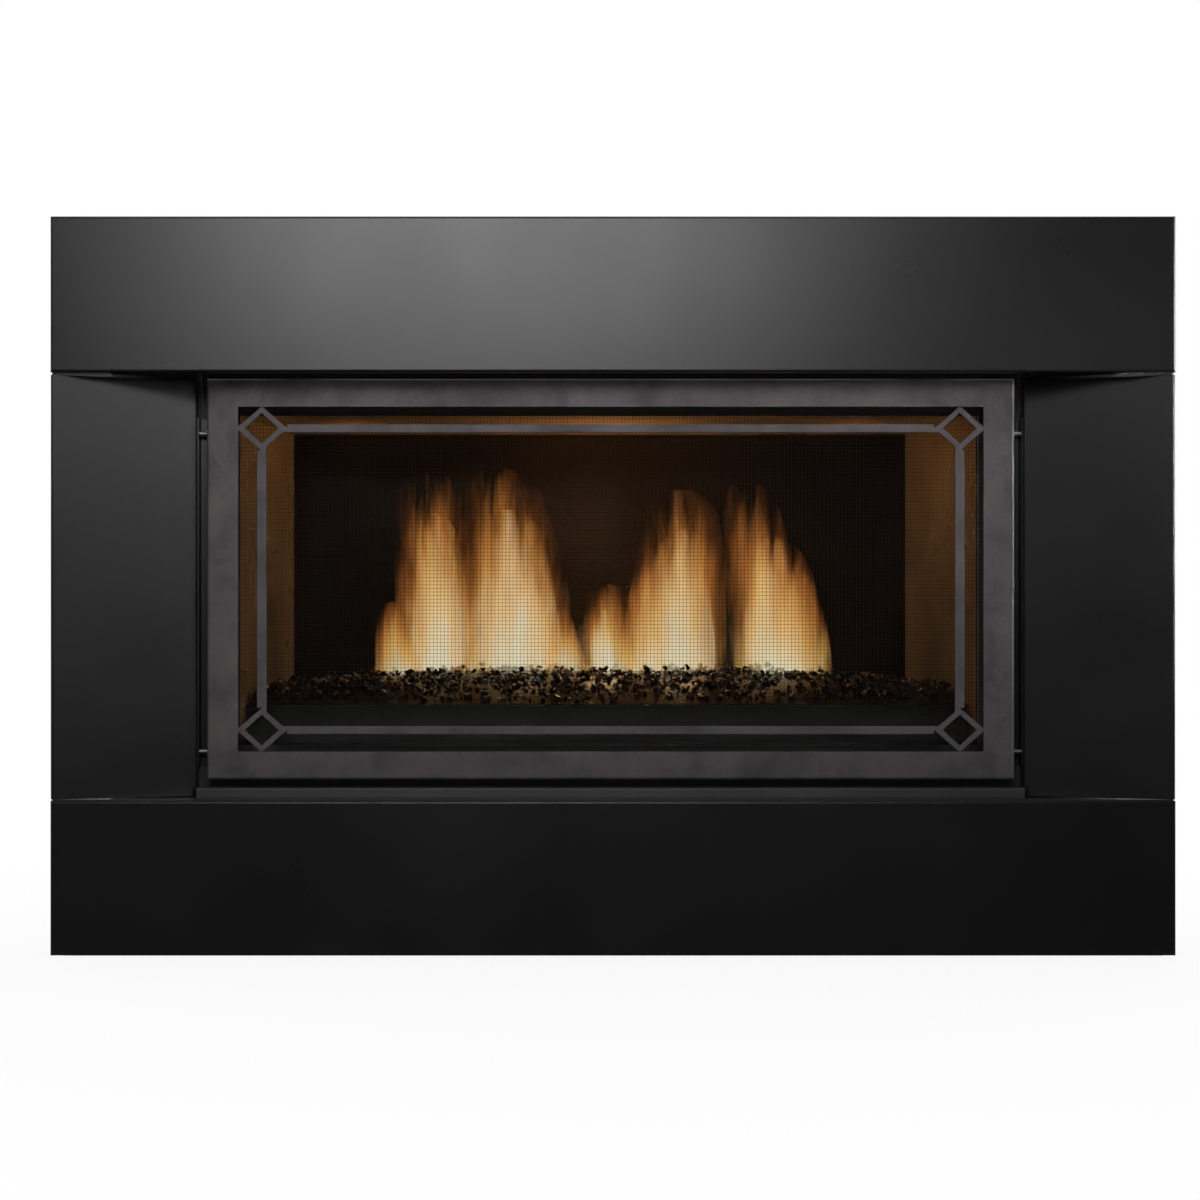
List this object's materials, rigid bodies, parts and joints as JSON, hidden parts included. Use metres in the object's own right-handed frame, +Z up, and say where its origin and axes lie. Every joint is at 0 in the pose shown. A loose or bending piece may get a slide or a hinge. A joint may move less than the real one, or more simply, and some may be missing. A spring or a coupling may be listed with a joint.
{
  "type": "fireplace insert",
  "caption": "Built-in gas fireplace insert: slanted black steel surround, latticed pull-off screen front, linear burner in a glazed firebox, vent collars on top.",
  "frame": {"origin": "middle of the unit in plan, on the floor it stands on", "axes": "+X to the right seen from the room, +Y into the wall, +Z up"},
  "size_m": [1.34, 0.48, 0.883],
  "materials": {
    "surround_black": "satin powder coat",
    "front_patina": "brushed bronze patina",
    "mesh_black": "woven wire, matt black",
    "bracket_zinc": "zinc plated",
    "bright_steel": "bright zinc",
    "magnet_dark": "ferrite",
    "firebox_black": "matt stove paint",
    "casing_galvanised": "galvanised sheet",
    "liner_bronze": "heat-tinted reflective sheet",
    "liner_enamel": "gloss black enamel",
    "glass_frame_black": "matt stove paint",
    "ceramic_glass": "clear ceramic",
    "gasket_rope": "knitted glass fibre",
    "burner_steel": "heat-blued stainless",
    "media_crushed": "crushed glassy media",
    "valve_alloy": "die cast and drawn",
    "valve_brass": "turned",
    "knob_black": "moulded, fine grain",
    "switch_black": "moulded",
    "button_red": "moulded",
    "lever_yellow": "dipped coating",
    "rotor_aluminium": "mill finish",
    "motor_black": "satin"
  },
  "bodies": {
    "root": {"header_panel": "surround_black", "side_panel_left": "surround_black", "side_panel_right": "surround_black", "base_frame": "surround_black", "sill_trim": "surround_black", "hanger_brackets": "surround_black", "header_brackets": "bracket_zinc", "glass_fixings": "bracket_zinc", "flap_hinges": "bracket_zinc", "pilot_assembly": "bracket_zinc", "steel_pins": "bright_steel", "case_screws": "bright_steel", "levelling_feet": "bright_steel", "hold_magnets": "magnet_dark", "face_frame": "firebox_black", "firebox_shell": "firebox_black", "burner_tray": "firebox_black", "media_grate": "firebox_black", "casing_side_left": "casing_galvanised", "casing_side_right": "casing_galvanised", "casing_back": "casing_galvanised", "casing_top": "casing_galvanised", "casing_base": "casing_galvanised", "standoffs": "casing_galvanised", "flue_collars": "casing_galvanised", "junction_box": "casing_galvanised", "control_plate": "casing_galvanised", "blower_housing": "casing_galvanised", "side_liner_left": "liner_bronze", "side_liner_right": "liner_bronze", "ceiling_baffle": "liner_bronze", "back_liner": "liner_enamel", "glass_frame": "glass_frame_black", "glass_panel": "ceramic_glass", "glass_gasket": "gasket_rope", "burner": "burner_steel", "media_bed": "media_crushed", "gas_valve": "valve_alloy", "supply_tube": "valve_alloy", "burner_tube": "valve_alloy", "shutoff_valve": "valve_brass", "control_bodies": "switch_black", "blower_motor": "motor_black"},
    "front": {"front_frame": "front_patina", "screen_mesh": "mesh_black", "screen_retainer": "bracket_zinc", "screen_nuts": "bright_steel"},
    "access_panel": {"access_panel": "surround_black"},
    "turn_button_left": {"turn_button_left": "bright_steel"},
    "turn_button_right": {"turn_button_right": "bright_steel"},
    "relief_flap_left": {"relief_flap_left": "casing_galvanised"},
    "relief_flap_right": {"relief_flap_right": "casing_galvanised"},
    "flame_knob": {"flame_knob": "knob_black"},
    "pilot_knob": {"pilot_knob": "knob_black"},
    "speed_knob": {"speed_knob": "knob_black"},
    "igniter_button": {"igniter_button": "button_red"},
    "rocker_switch": {"rocker_switch": "switch_black"},
    "shutoff_lever": {"shutoff_lever": "lever_yellow"},
    "blower_rotor": {"blower_rotor": "rotor_aluminium"}
  },
  "joints": [
    {"name": "front_pull", "type": "slide", "parent": "root", "child": "front", "axis": [0, -1, 0], "range_m": [0, 0.25]},
    {"name": "access_tilt", "type": "hinge", "parent": "root", "child": "access_panel", "pos_m": [0, -0.232, 0.0205], "axis": [1, 0, 0], "range_deg": [0, 75]},
    {"name": "turn_left", "type": "hinge", "parent": "root", "child": "turn_button_left", "pos_m": [-0.32, -0.11545, 0.689], "axis": [0, 1, 0], "range_deg": [-90, 90]},
    {"name": "turn_right", "type": "hinge", "parent": "root", "child": "turn_button_right", "pos_m": [0.32, -0.11545, 0.689], "axis": [0, 1, 0], "range_deg": [-90, 90]},
    {"name": "flap_left", "type": "hinge", "parent": "root", "child": "relief_flap_left", "pos_m": [-0.3, 0.0745, 0.7055], "axis": [-1, 0, 0], "range_deg": [0, 50]},
    {"name": "flap_right", "type": "hinge", "parent": "root", "child": "relief_flap_right", "pos_m": [0.3, 0.0745, 0.7055], "axis": [-1, 0, 0], "range_deg": [0, 50]},
    {"name": "flame_turn", "type": "hinge", "parent": "root", "child": "flame_knob", "pos_m": [-0.135, -0.135, 0.1], "axis": [0, -1, 0], "range_deg": [0, 270]},
    {"name": "pilot_turn", "type": "hinge", "parent": "root", "child": "pilot_knob", "pos_m": [-0.195, -0.135, 0.1], "axis": [0, -1, 0], "range_deg": [0, 180]},
    {"name": "speed_turn", "type": "hinge", "parent": "root", "child": "speed_knob", "pos_m": [0.045, -0.135, 0.1], "axis": [0, -1, 0], "range_deg": [0, 270]},
    {"name": "igniter_press", "type": "slide", "parent": "root", "child": "igniter_button", "axis": [0, 1, 0], "range_m": [0, 0.006], "stiffness_N_per_m": 300},
    {"name": "rocker_rock", "type": "hinge", "parent": "root", "child": "rocker_switch", "pos_m": [-0.02, -0.124, 0.1], "axis": [1, 0, 0], "range_deg": [0, 18]},
    {"name": "shutoff_turn", "type": "hinge", "parent": "root", "child": "shutoff_lever", "pos_m": [0.477, 0.1, 0.1], "axis": [0, 0, 1], "range_deg": [0, 90]},
    {"name": "blower_spin", "type": "hinge", "parent": "root", "child": "blower_rotor", "pos_m": [0.22, 0.185, 0.092], "axis": [1, 0, 0], "continuous": true}
  ]
}
